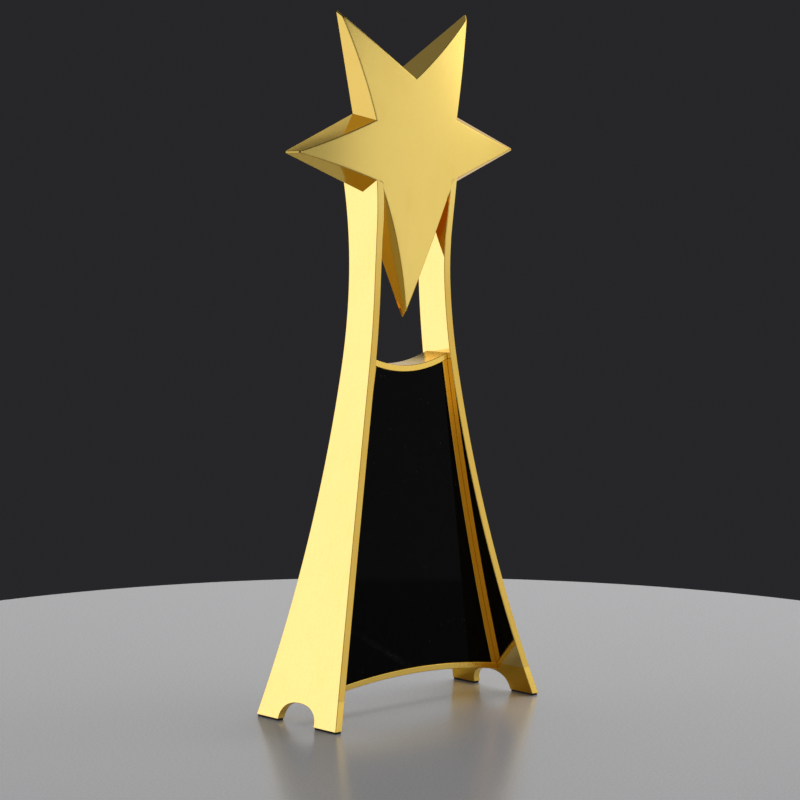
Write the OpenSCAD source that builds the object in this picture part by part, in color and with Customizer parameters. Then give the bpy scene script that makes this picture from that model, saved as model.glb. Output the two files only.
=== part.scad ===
// Star award standing on two flared legs, with a dark panel framed between the legs.
// Millimetres. Origin on the table under the middle of the award.
// +Z is up, -Y is the front, +X is the right-hand leg as seen from the front.

/* [Overall] */
// Height from the table to the highest corner of the star
trophy_height = 300; // [285:1:330]
// Width over the outer faces of the feet
foot_spread = 121; // [112:1:130]
// Length of each leg along the table, front to back
foot_depth = 51.4; // [48:0.2:58]

/* [Legs] */
// Thickness of the leg plate
leg_thickness = 3.6; // [3.2:0.1:4.2]
// Width over both legs at their narrowest
neck_width = 43.8; // [42.6:0.2:45]
// Front-to-back size of a leg at its narrowest
neck_depth = 16.6; // [16:0.2:19]
// Narrowest place of the front outline, below the lower notches of the star
neck_drop = 26.4; // [20:0.2:32]
// Narrowest place of the side outline, below the lower notches of the star
side_neck_drop = 41.4; // [34:0.2:48]
// Height of the change from the close curve to the long curve, below the neck
knee_drop = 50; // [40:1:60]
// Radius of the close curve of the front outline
neck_curve = 306; // [280:2:340]
// Radius of the back of the side outline above its narrowest place
head_curve = 500; // [400:10:700]
// Radius of the front of the side outline above its narrowest place, up to the face of the star
front_head_curve = 250; // [230:10:500]
// Width of the arch between the two feet of a leg
arch_width = 22.8; // [18:0.2:25]
// Height of that arch
arch_height = 9; // [8.4:0.1:10]
// Corner radius at the top of that arch
arch_corner = 8; // [6:0.1:8.2]

/* [Star outline] */
// Distance between the two upper points, before their tips are cut flat
upper_point_span = 75.8; // [70:0.2:80]
// Distance between the two side points, before their tips are cut flat
side_point_span = 133.6; // [120:0.2:145]
// Distance between the two notches above the side points
upper_notch_span = 57.2; // [54:0.2:60]
// Distance between the two notches below the side points
lower_notch_span = 52.2; // [50.6:0.2:54]
// Drop from the upper points to the notch between them
top_notch_drop = 23.6; // [20:0.2:28]
// Drop from the upper points to the notches above the side points
upper_notch_drop = 43.4; // [40:0.2:47]
// Drop from the upper points to the side points
side_point_drop = 59.2; // [56:0.2:63]
// Drop from the upper points to the notches below the side points
lower_notch_drop = 75.2; // [72:0.2:79]
// Drop from the upper points to the lower point
lower_point_drop = 131.4; // [122:0.2:136]
// Width of the small flat on each tip
tip_flat = 0.8; // [0.6:0.1:1.6]

/* [Star section] */
// Distance of the back of the star in front of the middle plane
star_back = 1.5; // [1:0.1:2]
// Thickness of the star at the top of its domed front
star_thickness = 10.8; // [10:0.1:12]
// Radius of the domed front
dome_radius = 273; // [250:1:320]
// Drop from the upper points to the top of the dome
dome_drop = 60.4; // [56:0.2:66]
// Slope of the side faces of the star, in degrees
side_draft = 26; // [22:0.5:28]
// Slope of the two side faces of the lower point, in degrees
lower_draft = 30.5; // [26:0.5:31]
// Wall thickness of the hollow star
star_wall = 2.4; // [2:0.1:2.8]
// Thickness of the cover plate in the back of the star
cover_thickness = 1.5; // [1.2:0.1:2]
// Width of the rim around the cover plate
cover_rim = 1.4; // [1.2:0.1:1.8]

/* [Panel] */
// Lowest level of the upper face of the top rail
top_rail_level = 149.6; // [140:0.2:152]
// Radius of the dished top rail
top_rail_curve = 58; // [50:1:90]
// Highest level of the upper face of the bottom rail
bottom_rail_level = 17.4; // [16:0.2:24]
// Radius of the arched bottom rail
bottom_rail_curve = 300; // [260:5:400]
// Thickness of the two rails
rail_thickness = 2.7; // [2.5:0.1:3.2]
// Distance of the front edges of the rails from the middle plane
rail_reach = 6.6; // [6.5:0.1:7.2]
// Width of the side strips
strip_width = 2.5; // [2.4:0.1:3]
// Distance of the front faces of the side strips from the middle plane
strip_reach = 6.3; // [6.2:0.1:6.4]
// Distance of the front face of the dark panel from the middle plane
panel_reach = 5.7; // [5.5:0.1:5.9]
// Thickness of each dark panel
panel_thickness = 2.2; // [2:0.1:2.4]
// Depth of the groove that takes the edge of the core
groove_depth = 1.1; // [0.8:0.1:1.2]

/* [Small parts] */
// Thickness of the pads under the feet
pad_thickness = 0.8; // [0.6:0.1:1.2]
// Glue line between a curved face and the leg beside it
joint_gap = 0.2; // [0.15:0.05:0.3]
// Play around each panel
panel_play = 0.15; // [0.1:0.05:0.2]
// Height of the bridge behind the star
bridge_height = 18; // [16:0.5:19]
// Thickness of the bridge
bridge_thickness = 2; // [1.6:0.1:2.2]
// Shank diameter of the screws that hold the star
star_screw = 3; // [2.6:0.1:3.4]
// Shank diameter of the small screws
small_screw = 2; // [1.8:0.1:2.2]
// Diameter of the dowel pins
pin_diameter = 1.4; // [1.2:0.1:1.5]

/* [Hidden] */
round_fine = 720;
round_part = 48;
far = 400;
cut = 0.5;

// Leg curves, given for the right-hand leg in the plane of the front view
point_level = trophy_height + tip_flat / 2 / sin(22.7) * 0.54;
lower_notch_level = point_level - lower_notch_drop;
neck_level = lower_notch_level - neck_drop;
neck_half = neck_width / 2;
knee_turn = asin(knee_drop / neck_curve);
neck_centre = [neck_half + neck_curve, neck_level];
knee = neck_centre - neck_curve * [cos(knee_turn), sin(knee_turn)];
knee_to_foot = [foot_spread / 2, 0] - knee;
knee_normal = [cos(knee_turn), sin(knee_turn)];
sweep_curve = (knee_to_foot * knee_to_foot) / (2 * (knee_to_foot * knee_normal));
sweep_centre = knee + sweep_curve * knee_normal;

// Side outline of the legs
side_neck_level = lower_notch_level - side_neck_drop;
side_flare = foot_depth / 2 - neck_depth / 2;
side_curve = (side_neck_level * side_neck_level + side_flare * side_flare) / (2 * side_flare);
upper_notch_level = point_level - upper_notch_drop;
leg_top = upper_notch_level - 5;

// Star outline: tips carry 1, notches carry 0; the last value is the slope of the side that follows
steep = tan(side_draft);
low = tan(lower_draft);
star_corners = [
    [-upper_point_span / 2, point_level, 1, steep],
    [0, point_level - top_notch_drop, 0, steep],
    [upper_point_span / 2, point_level, 1, steep],
    [upper_notch_span / 2, upper_notch_level, 0, steep],
    [side_point_span / 2, point_level - side_point_drop, 1, steep],
    [lower_notch_span / 2, lower_notch_level, 0, low],
    [0, point_level - lower_point_drop, 1, low],
    [-lower_notch_span / 2, lower_notch_level, 0, steep],
    [-side_point_span / 2, point_level - side_point_drop, 1, steep],
    [-upper_notch_span / 2, upper_notch_level, 0, steep]
];
corner_count = len(star_corners);
dome_level = point_level - dome_drop;

// Panel frame
leg_inner = leg_thickness;
strip_outer = leg_inner + joint_gap;
strip_inner = strip_outer + strip_width;
rail_top_centre = top_rail_level + top_rail_curve;
rail_bottom_centre = bottom_rail_level - bottom_rail_curve;
core_half = panel_reach - panel_thickness;
panel_screw_high = top_rail_level - 22;
panel_screw_low = bottom_rail_level + 24;

// Bridge and screws
bridge_level = (lower_notch_level + upper_notch_level) / 2;
flange_end = neck_depth / 2;
head_height = 1.4;
boss_radius = star_screw / 2 + 1.6;
small_boss_radius = small_screw / 2 + 1.5;
star_screw_side = 9;
arm_screw_side = 44;
point_screw_side = 23;
point_screw_level = point_level - 21;
low_screw_level = point_level - 101;
boss_depth = cover_thickness + 0.2;
fit_play = 0.2;

// ---------- star ----------

function unit(v) = v / norm(v);
function corner(i) = star_corners[(i + corner_count) % corner_count];
function flat_of(i) = [corner(i)[0], corner(i)[1]];
function along(i) = unit(flat_of(i + 1) - flat_of(i));
function inward(i) = [along(i)[1], -along(i)[0]];
function cross2(a, b) = a[0] * b[1] - a[1] * b[0];

// Corner i once each side face has moved in by its slope times depth, plus a plain inset
function moved(i, depth, inset) =
    let (first = inward(i - 1), second = inward(i))
    let (step_a = depth * corner(i - 1)[3] + inset, step_b = depth * corner(i)[3] + inset)
    let (side = cross2(first, second))
    flat_of(i) + [
        (step_a * second[1] - step_b * first[1]) / side,
        (first[0] * step_b - second[0] * step_a) / side
    ];

// Half the angle of the tip at corner i
function half_tip(i) = acos(-(along(i - 1) * along(i))) / 2;
function trim(i) = tip_flat / (2 * sin(half_tip(i)));

// Outline with flat tips, at one depth
function outline(depth, inset) = [
    for (i = [0 : corner_count - 1])
        for (k = corner(i)[2] == 1 ? [-1, 1] : [0])
            moved(i, depth, inset)
                + (k == 0 ? [0, 0] : trim(i) * (k < 0 ? -along(i - 1) : along(i)))
];

// Sloped block between two depths; each end is five arms around the middle five-sided face
module sloped_star(inset, near, depth) {
    bottom = outline(near, inset);
    top = outline(depth, inset);
    count = len(bottom);
    polyhedron(
        points = concat(
            [for (p = bottom) [p[0], -star_back - near, p[1]]],
            [for (p = top) [p[0], -star_back - depth, p[1]]]
        ),
        faces = concat(
            [for (k = [0 : 4]) [3 * k + 2, 3 * k + 1, 3 * k, (3 * k + count - 1) % count]],
            [[for (k = [4 : -1 : 0]) 3 * k + 2]],
            [for (k = [0 : 4]) [count + (3 * k + count - 1) % count, count + 3 * k,
                count + 3 * k + 1, count + 3 * k + 2]],
            [[for (k = [0 : 4]) count + 3 * k + 2]],
            [for (i = [0 : count - 1]) [i, (i + 1) % count, count + (i + 1) % count, count + i]]
        )
    );
}

// Block with the domed front, lowered by a wall thickness where needed
module dome_cap(lower) {
    translate([0, dome_radius - star_back - star_thickness, dome_level])
        rotate([90, 0, 0])
            rotate_extrude($fn = 180)
                intersection() {
                    circle(r = dome_radius - lower, $fn = 1440);
                    translate([0, dome_radius - 3 * star_thickness])
                        square([side_point_span * 0.7, 4 * star_thickness]);
                }
}

module star_block() {
    intersection() {
        sloped_star(0, 0, star_thickness + 2);
        dome_cap(0);
    }
}

// Cylinder along the depth of the star, from one depth to another
module bore(x, z, radius, near, depth) {
    translate([x, -star_back - near, z])
        rotate([90, 0, 0])
            cylinder(r = radius, h = depth - near, $fn = round_part);
}

module cover_places() {
    for (side = [-1, 1]) {
        translate([side * point_screw_side, 0, point_screw_level]) children();
        translate([side * arm_screw_side, 0, point_level - side_point_drop]) children();
    }
    translate([0, 0, low_screw_level]) children();
}

module star_places() {
    for (side = [-1, 1])
        translate([side * star_screw_side, 0, bridge_level]) children();
}

module star_hollow() {
    difference() {
        intersection() {
            sloped_star(star_wall, cover_thickness - cut, star_thickness + 1);
            dome_cap(star_wall);
        }
        cover_places() bore(0, 0, small_boss_radius, cover_thickness, star_thickness + 2);
        star_places() bore(0, 0, boss_radius, cover_thickness, star_thickness + 2);
    }
}

module star_body() {
    color([0.86, 0.70, 0.36])
    difference() {
        star_block();
        sloped_star(cover_rim, -cut, cover_thickness);
        star_hollow();
        cover_places() bore(0, 0, small_screw / 2, cover_thickness - cut, 4.6);
        star_places() bore(0, 0, star_screw / 2, cover_thickness - cut, 7.2);
    }
}

module star_cover() {
    color([0.80, 0.64, 0.30])
    difference() {
        sloped_star(cover_rim + panel_play, 0, cover_thickness);
        cover_places() bore(0, 0, small_screw / 2 + fit_play, -cut, cover_thickness + cut);
        cover_places() bore(0, 0, small_screw / 2 + 1 + fit_play, -cut, 0.9);
        star_places() bore(0, 0, star_screw / 2 + fit_play, -cut, cover_thickness + cut);
    }
}

module star_cover_screws() {
    color([0.78, 0.78, 0.80])
    cover_places() difference() {
        union() {
            bore(0, 0, small_screw / 2, 0.1, 4.4);
            bore(0, 0, small_screw / 2 + 1, 0.1, 0.9);
        }
        bore(0, 0, 0.6, -cut, 0.6);
    }
}

// ---------- curves of the legs, front view, right-hand side ----------

// Everything beyond the outer face of the leg, moved in towards the middle by inset
module beyond(inset) {
    intersection() {
        translate(neck_centre) circle(r = neck_curve + inset, $fn = round_fine);
        translate([-far, knee[1]]) square([4 * far, 2 * far]);
    }
    intersection() {
        translate(sweep_centre) circle(r = sweep_curve + inset, $fn = round_fine);
        translate([-far, knee[1] - 2 * far]) square([4 * far, 2 * far]);
    }
}

// Band beside the leg curve, between two distances from the outer face
module band(outer, inner) {
    difference() {
        beyond(inner);
        beyond(outer);
    }
}

// Front-view shape pushed from one depth to another, y counted to the back
module sheet(near, depth) {
    translate([0, depth, 0])
        rotate([90, 0, 0])
            linear_extrude(height = depth - near)
                children();
}

// Stock outside the side outline, one side
module side_waste(head) {
    translate([neck_depth / 2 + side_curve, side_neck_level])
        intersection() {
            circle(r = side_curve, $fn = round_fine);
            translate([-side_curve, -2 * far]) square([side_curve, 2 * far]);
        }
    translate([neck_depth / 2 + head, side_neck_level])
        intersection() {
            circle(r = head, $fn = round_fine);
            translate([-head, 0]) square([head, 2 * far]);
        }
}

module arch_outline() {
    low_side = arch_height - arch_corner;
    translate([-arch_width / 2, -1]) square([arch_width, low_side + 1]);
    for (side = [-1, 1])
        translate([side * (arch_width / 2 - arch_corner), low_side])
            circle(r = arch_corner, $fn = round_part);
    translate([-arch_width / 2 + arch_corner, -1])
        square([arch_width - 2 * arch_corner, arch_height + 1]);
}

// Pin or screw square to the leg face at one level; distances count in from the outer face
module square_to_leg(level, y) {
    high = level > knee[1];
    centre = high ? neck_centre : sweep_centre;
    curve = high ? neck_curve : sweep_curve;
    turn = asin((level - centre[1]) / curve);
    translate([centre[0], y, centre[1]])
        rotate([0, turn, 0])
            translate([-curve, 0, 0])
                rotate([0, -90, 0])
                    children();
}

module strip_pin_places() {
    for (level = [bottom_rail_level + 26, top_rail_level - 28])
        square_to_leg(level, 0)
            translate([0, 0, leg_thickness - 1.8])
                children();
}

module bridge_screw_places() {
    for (level = [bridge_level - 5, bridge_level + 5])
        square_to_leg(level, flange_end - 3)
            children();
}

// Ends of the rails: a dowel along each rail end, right-hand side
module rail_pin_places() {
    for (y = [-3.6, 3.6]) {
        top_mid = top_rail_curve + rail_thickness / 2;
        top_turn = asin((neck_half - leg_thickness + 1.6) / top_mid);
        translate([top_mid * sin(top_turn), y, rail_top_centre - top_mid * cos(top_turn)])
            rotate([0, 90 - top_turn, 0])
                children();
        low_mid = bottom_rail_curve - rail_thickness / 2;
        low_turn = asin(rail_end_side / low_mid);
        translate([low_mid * sin(low_turn), y, rail_bottom_centre + low_mid * cos(low_turn)])
            rotate([0, 90 + low_turn, 0])
                children();
    }
}

rail_end_level = bottom_rail_level - 6;
rail_end_side = sweep_centre[0]
    - sqrt(pow(sweep_curve + leg_thickness, 2) - pow(sweep_centre[1] - rail_end_level, 2));

module leg_plate() {
    difference() {
        sheet(-foot_depth / 2 - 1, foot_depth / 2 + 1)
            intersection() {
                band(0, leg_inner);
                translate([0, pad_thickness]) square([far, leg_top - pad_thickness]);
            }
        for (side = [0, 1])
            mirror([0, side, 0])
                rotate([90, 0, 90])
                    linear_extrude(height = far)
                        side_waste(side == 0 ? head_curve : front_head_curve);
        rotate([90, 0, 90]) linear_extrude(height = far) arch_outline();
        sloped_star(0, 0, star_thickness + 6);
        translate([0, -star_back - far, bridge_level]) cube([far, far, far]);
        strip_pin_places() cylinder(d = pin_diameter, h = 3, $fn = round_part);
        bridge_screw_places()
            translate([0, 0, leg_thickness - 2.2])
                cylinder(d = small_screw, h = 4, $fn = round_part);
        rail_pin_places()
            translate([0, 0, -3])
                cylinder(d = pin_diameter, h = 5, $fn = round_part);
    }
}

module right_leg() {
    color([0.86, 0.70, 0.36]) leg_plate();
}

module left_leg() {
    color([0.86, 0.70, 0.36]) mirror([1, 0, 0]) leg_plate();
}

// ---------- bridge behind the star ----------

module between_legs(inset) {
    difference() {
        translate([-far / 2, 0]) square([far, far]);
        beyond(inset);
        mirror([1, 0]) beyond(inset);
    }
}

module star_bridge() {
    low_edge = bridge_level - bridge_height / 2;
    color([0.72, 0.72, 0.74])
    difference() {
        union() {
            sheet(-star_back, bridge_thickness - star_back)
                intersection() {
                    between_legs(strip_outer);
                    translate([-far / 2, low_edge]) square([far, bridge_height]);
                }
            for (side = [0, 1])
                mirror([side, 0, 0])
                    sheet(-star_back, flange_end)
                        intersection() {
                            band(strip_outer, strip_outer + bridge_thickness);
                            translate([0, low_edge]) square([far / 2, bridge_height]);
                        }
        }
        star_places()
            translate([0, -star_back - cut, 0])
                rotate([-90, 0, 0])
                    cylinder(d = star_screw + 2 * fit_play, h = 4, $fn = round_part);
        for (side = [0, 1])
            mirror([side, 0, 0])
                bridge_screw_places()
                    translate([0, 0, leg_thickness - 1])
                        cylinder(d = small_screw + 2 * fit_play, h = 5, $fn = round_part);
    }
}

module bridge_star_screws() {
    color([0.78, 0.78, 0.80])
    star_places() difference() {
        union() {
            translate([0, bridge_thickness - star_back, 0])
                rotate([90, 0, 0])
                    cylinder(d = star_screw, h = bridge_thickness + 7, $fn = round_part);
            translate([0, bridge_thickness - star_back, 0])
                rotate([-90, 0, 0])
                    cylinder(d = 2 * star_screw - 0.5, h = head_height + 0.4, $fn = round_part);
        }
        translate([0, bridge_thickness - star_back + 0.8, 0])
            rotate([-90, 0, 0])
                cylinder(d = 2, h = 3, $fn = 6);
    }
}

module bridge_leg_screws() {
    seat = strip_outer + bridge_thickness;
    color([0.78, 0.78, 0.80])
    for (side = [0, 1])
        mirror([side, 0, 0])
            bridge_screw_places() difference() {
                union() {
                    translate([0, 0, leg_thickness - 2])
                        cylinder(d = small_screw, h = seat - leg_thickness + 2.1, $fn = round_part);
                    translate([0, 0, seat + 0.05])
                        cylinder(d = 2 * small_screw, h = head_height, $fn = round_part);
                }
                translate([0, 0, seat + 0.7]) cylinder(d = 1.3, h = 2, $fn = 6);
            }
}

// ---------- panel frame ----------

module above_top_rail(extra) {
    translate([0, rail_top_centre]) circle(r = top_rail_curve + extra, $fn = round_fine);
    translate([-far, rail_top_centre]) square([2 * far, far]);
}

module below_bottom_rail(extra) {
    translate([0, rail_bottom_centre]) circle(r = bottom_rail_curve + extra, $fn = round_fine);
}

// Clear region inside the frame; side and end are distances kept from legs and rails
module panel_region(side, end) {
    difference() {
        translate([-far / 2, 0]) square([far, rail_top_centre]);
        beyond(side);
        mirror([1, 0]) beyond(side);
        above_top_rail(rail_thickness + end);
        below_bottom_rail(end);
    }
}

module core_shape(play) {
    panel_region(strip_inner - groove_depth + play, joint_gap - groove_depth + play);
}

module strip() {
    difference() {
        sheet(-strip_reach, strip_reach)
            intersection() {
                band(strip_outer, strip_inner);
                panel_region(0, joint_gap);
            }
        sheet(-core_half - fit_play / 2, core_half + fit_play / 2) core_shape(0);
        strip_pin_places() cylinder(d = pin_diameter, h = 3, $fn = round_part);
    }
}

module right_strip() {
    color([0.80, 0.62, 0.28]) strip();
}

module left_strip() {
    color([0.80, 0.62, 0.28]) mirror([1, 0, 0]) strip();
}

module rail_blank() {
    sheet(-rail_reach, rail_reach)
        intersection() {
            between_legs(strip_outer);
            children();
        }
}

module rail_holes() {
    for (side = [0, 1])
        mirror([side, 0, 0])
            rail_pin_places()
                translate([0, 0, -3])
                    cylinder(d = pin_diameter, h = 5, $fn = round_part);
    sheet(-core_half - fit_play / 2, core_half + fit_play / 2) core_shape(0);
}

module top_rail() {
    color([0.86, 0.70, 0.36])
    difference() {
        rail_blank() difference() {
            above_top_rail(rail_thickness);
            above_top_rail(0);
        }
        rail_holes();
    }
}

module bottom_rail() {
    color([0.86, 0.70, 0.36])
    difference() {
        rail_blank() difference() {
            below_bottom_rail(0);
            below_bottom_rail(-rail_thickness);
        }
        rail_holes();
    }
}

module rail_pins() {
    color([0.78, 0.78, 0.80])
    for (side = [0, 1])
        mirror([side, 0, 0])
            rail_pin_places()
                translate([0, 0, -2.8])
                    cylinder(d = pin_diameter, h = 4.6, $fn = round_part);
}

module strip_pins() {
    color([0.78, 0.78, 0.80])
    for (side = [0, 1])
        mirror([side, 0, 0])
            strip_pin_places() cylinder(d = pin_diameter, h = 2.9, $fn = round_part);
}

module panel_places() {
    for (side = [-1, 1]) {
        translate([side * 11, 0, panel_screw_high]) children();
        translate([side * 26, 0, panel_screw_low]) children();
    }
}

module front_panel() {
    color([0.03, 0.03, 0.03])
    difference() {
        sheet(-panel_reach, -core_half)
            panel_region(strip_inner + panel_play, joint_gap + panel_play);
        panel_places()
            translate([0, -core_half + cut, 0])
                rotate([90, 0, 0])
                    cylinder(d = small_screw, h = 1.4 + cut, $fn = round_part);
    }
}

module panel_core() {
    color([0.15, 0.15, 0.15])
    difference() {
        sheet(-core_half, core_half)
            difference() {
                core_shape(panel_play);
                translate([-11, panel_screw_low + 14])
                    square([22, panel_screw_high - panel_screw_low - 28]);
            }
        panel_places()
            translate([0, core_half + cut, 0])
                rotate([90, 0, 0])
                    cylinder(
                        d = small_screw + 2 * fit_play,
                        h = 2 * core_half + 2 * cut,
                        $fn = round_part
                    );
    }
}

module back_panel() {
    color([0.03, 0.03, 0.03])
    difference() {
        sheet(core_half, panel_reach)
            panel_region(strip_inner + panel_play, joint_gap + panel_play);
        panel_places()
            translate([0, panel_reach + cut, 0])
                rotate([90, 0, 0])
                    cylinder(
                        d = small_screw + 2 * fit_play,
                        h = panel_thickness + 2 * cut,
                        $fn = round_part
                    );
    }
}

module panel_screws() {
    color([0.20, 0.20, 0.20])
    panel_places() difference() {
        union() {
            translate([0, panel_reach, 0])
                rotate([90, 0, 0])
                    cylinder(
                        d = small_screw,
                        h = panel_reach + core_half + 1.2,
                        $fn = round_part
                    );
            translate([0, panel_reach, 0])
                rotate([-90, 0, 0])
                    cylinder(d = 2 * small_screw, h = head_height, $fn = round_part);
        }
        translate([0, panel_reach + 0.6, 0])
            rotate([-90, 0, 0])
                cylinder(d = 1.3, h = 2, $fn = 6);
    }
}

// ---------- feet ----------

module foot_pads() {
    inset = 0.4;
    pad_length = foot_depth / 2 - arch_width / 2 - 2 * inset;
    color([0.10, 0.10, 0.10])
    for (side = [-1, 1])
        for (end = [-1, 1])
            translate([
                side * (foot_spread / 2 - leg_thickness / 2 - inset),
                end * (arch_width / 2 + inset + pad_length / 2),
                pad_thickness / 2
            ])
                cube([leg_thickness - 2 * inset, pad_length, pad_thickness], center = true);
}

star_body();
star_cover();
star_cover_screws();
star_bridge();
bridge_star_screws();
bridge_leg_screws();
left_leg();
right_leg();
left_strip();
right_strip();
top_rail();
bottom_rail();
rail_pins();
strip_pins();
front_panel();
panel_core();
back_panel();
panel_screws();
foot_pads();
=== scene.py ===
"""Gold star award on two flared legs with a dark framed panel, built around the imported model."""

import math
import bmesh
import bpy
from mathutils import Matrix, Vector


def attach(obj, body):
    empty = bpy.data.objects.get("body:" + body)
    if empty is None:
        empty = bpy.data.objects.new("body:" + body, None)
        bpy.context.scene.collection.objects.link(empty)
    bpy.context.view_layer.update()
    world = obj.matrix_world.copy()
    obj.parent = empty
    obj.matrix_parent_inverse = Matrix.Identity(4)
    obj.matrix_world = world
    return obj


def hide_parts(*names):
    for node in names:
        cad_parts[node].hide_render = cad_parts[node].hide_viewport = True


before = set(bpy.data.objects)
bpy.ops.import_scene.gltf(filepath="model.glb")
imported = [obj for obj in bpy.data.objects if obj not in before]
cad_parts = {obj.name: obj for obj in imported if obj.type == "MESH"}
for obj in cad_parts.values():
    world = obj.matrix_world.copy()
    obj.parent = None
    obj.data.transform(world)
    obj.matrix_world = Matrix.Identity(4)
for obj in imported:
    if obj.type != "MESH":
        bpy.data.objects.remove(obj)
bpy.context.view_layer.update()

MM = 0.001

# ---------- sizes, in millimetres, the same as the solid model's ----------

HEIGHT = 300.0
FOOT_HALF = 60.5
FOOT_REACH = 25.7
PLATE = 3.6
NECK_HALF = 21.9
NECK_REACH = 8.3
NECK_CURVE = 306.0
HEAD_CURVE, FRONT_HEAD_CURVE = 500.0, 220.0
KNEE_DROP = 50.0
ARCH_HALF, ARCH_HEIGHT, ARCH_FILL = 11.4, 9.0, 0.86
PAD = 0.8

TIP_FLAT = 0.8
TIP_HALF_ANGLE, TIP_SHARE = 22.7, 0.54
POINT_LEVEL = HEIGHT + TIP_FLAT / 2 / math.sin(math.radians(TIP_HALF_ANGLE)) * TIP_SHARE
LOWER_NOTCH = POINT_LEVEL - 75.2
UPPER_NOTCH = POINT_LEVEL - 43.4
STAR_BACK, STAR_THICK, DOME_RADIUS = 1.5, 10.8, 273.0
DOME_LEVEL = POINT_LEVEL - 60.4
STEEP = math.tan(math.radians(26.0))
LOW = math.tan(math.radians(30.5))
COVER_RIM, COVER_THICK = 1.4, 1.5
BRIDGE_LEVEL = (LOWER_NOTCH + UPPER_NOTCH) / 2

TOP_RAIL, TOP_CURVE = 149.6, 58.0
BOTTOM_RAIL, BOTTOM_CURVE = 17.4, 300.0
RAIL, RAIL_REACH = 2.7, 6.6
STRIP, STRIP_REACH = 2.5, 6.3
PANEL_REACH, PANEL = 5.7, 2.2
PANEL_PLAY, JOINT_GAP = 0.15, 0.2
FACE_GAP, END_GAP = 0.03, 0.02
MERGE = 0.004

NECK_LEVEL = LOWER_NOTCH - 26.4
SIDE_NECK = LOWER_NOTCH - 41.4
SIDE_FLARE = FOOT_REACH - NECK_REACH
SIDE_CURVE = (SIDE_NECK**2 + SIDE_FLARE**2) / (2 * SIDE_FLARE)
LEG_TOP = UPPER_NOTCH - 5
FLUSH_FROM, FLUSH_FULL, STRIP_MIDDLE = 204.0, 213.0, 20.6

KNEE_TURN = math.asin(KNEE_DROP / NECK_CURVE)
NECK_CENTRE = Vector((NECK_HALF + NECK_CURVE, NECK_LEVEL))
KNEE_NORMAL = Vector((math.cos(KNEE_TURN), math.sin(KNEE_TURN)))
KNEE = NECK_CENTRE - NECK_CURVE * KNEE_NORMAL
TO_FOOT = Vector((FOOT_HALF, 0)) - KNEE
SWEEP = TO_FOOT.dot(TO_FOOT) / (2 * TO_FOOT.dot(KNEE_NORMAL))
SWEEP_CENTRE = KNEE + SWEEP * KNEE_NORMAL


# ---------- curves of the object ----------


def leg_x(z, inset=0.0):
    """Sideways place of the leg's outer face at a level, moved in towards the middle by inset."""
    high = z > KNEE.y
    centre = NECK_CENTRE if high else SWEEP_CENTRE
    radius = (NECK_CURVE if high else SWEEP) + inset
    return centre.x - math.sqrt(radius**2 - (z - centre.y) ** 2)


def leg_reach(z, front=False):
    """Distance of a leg's front or back edge from the middle plane at a level."""
    head = FRONT_HEAD_CURVE if front else HEAD_CURVE
    curve = SIDE_CURVE if z < SIDE_NECK else head
    reach = NECK_REACH + curve - math.sqrt(curve**2 - (z - SIDE_NECK) ** 2)
    if front and z > FLUSH_FROM:
        reach = min(reach, STAR_BACK + dome_depth(STRIP_MIDDLE, z) - 0.02)
    return reach


def top_rail_z(x, extra=0.0):
    return TOP_RAIL + TOP_CURVE - math.sqrt((TOP_CURVE + extra) ** 2 - x * x)


def bottom_rail_z(x, extra=0.0):
    return BOTTOM_RAIL - BOTTOM_CURVE + math.sqrt((BOTTOM_CURVE + extra) ** 2 - x * x)


def where_they_meet(rail_z, inset, extra):
    """Corner where a rail's curve meets a curve that runs beside the leg."""
    x = 30.0
    for _ in range(40):
        x = leg_x(rail_z(x, extra), inset)
    return x, rail_z(x, extra)


def spread(low, high, count):
    return [low + (high - low) * i / count for i in range(count + 1)]


SIDE_POINT = (66.8, POINT_LEVEL - 59.2)
LOW_POINT = POINT_LEVEL - 131.4
POINT_HALF, UPPER_HALF, LOWER_HALF = 37.9, 28.6, 26.1
IN_LEG = 20.2


def on_line(start, end, x):
    return start[1] + (end[1] - start[1]) * (x - start[0]) / (end[0] - start[0])


# The lower notches lie inside the thickness of the legs, where each is closed by an upright side
NOTCH = (LOWER_HALF, LOWER_NOTCH)
NOTCH_ABOVE = on_line(SIDE_POINT, NOTCH, IN_LEG)
NOTCH_BELOW = on_line((0.0, LOW_POINT), NOTCH, IN_LEG)

# Each corner has its place, True for a tip, and the slope of the side that follows
CORNERS = [
    (-POINT_HALF, POINT_LEVEL, True, STEEP),
    (0.0, POINT_LEVEL - 23.6, False, STEEP),
    (POINT_HALF, POINT_LEVEL, True, STEEP),
    (UPPER_HALF, UPPER_NOTCH, False, STEEP),
    (*SIDE_POINT, True, STEEP),
    (IN_LEG, NOTCH_ABOVE, False, 0.0),
    (IN_LEG, NOTCH_BELOW, False, LOW),
    (0.0, LOW_POINT, True, LOW),
    (-IN_LEG, NOTCH_BELOW, False, 0.0),
    (-IN_LEG, NOTCH_ABOVE, False, STEEP),
    (-SIDE_POINT[0], SIDE_POINT[1], True, STEEP),
    (-UPPER_HALF, UPPER_NOTCH, False, STEEP),
]


def corner(i):
    return CORNERS[i % len(CORNERS)]


def along(i):
    a, b = corner(i), corner(i + 1)
    return Vector((b[0] - a[0], b[1] - a[1])).normalized()


def inward(i):
    return Vector((along(i).y, -along(i).x))


def moved(i, depth, inset):
    """Corner i once each side has moved in by its slope times depth, plus a plain inset."""
    first, second = inward(i - 1), inward(i)
    step_a = depth * corner(i - 1)[3] + inset
    step_b = depth * corner(i)[3] + inset
    side = first.x * second.y - first.y * second.x
    return Vector(
        (
            corner(i)[0] + (step_a * second.y - step_b * first.y) / side,
            corner(i)[1] + (first.x * step_b - second.x * step_a) / side,
        )
    )


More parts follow.
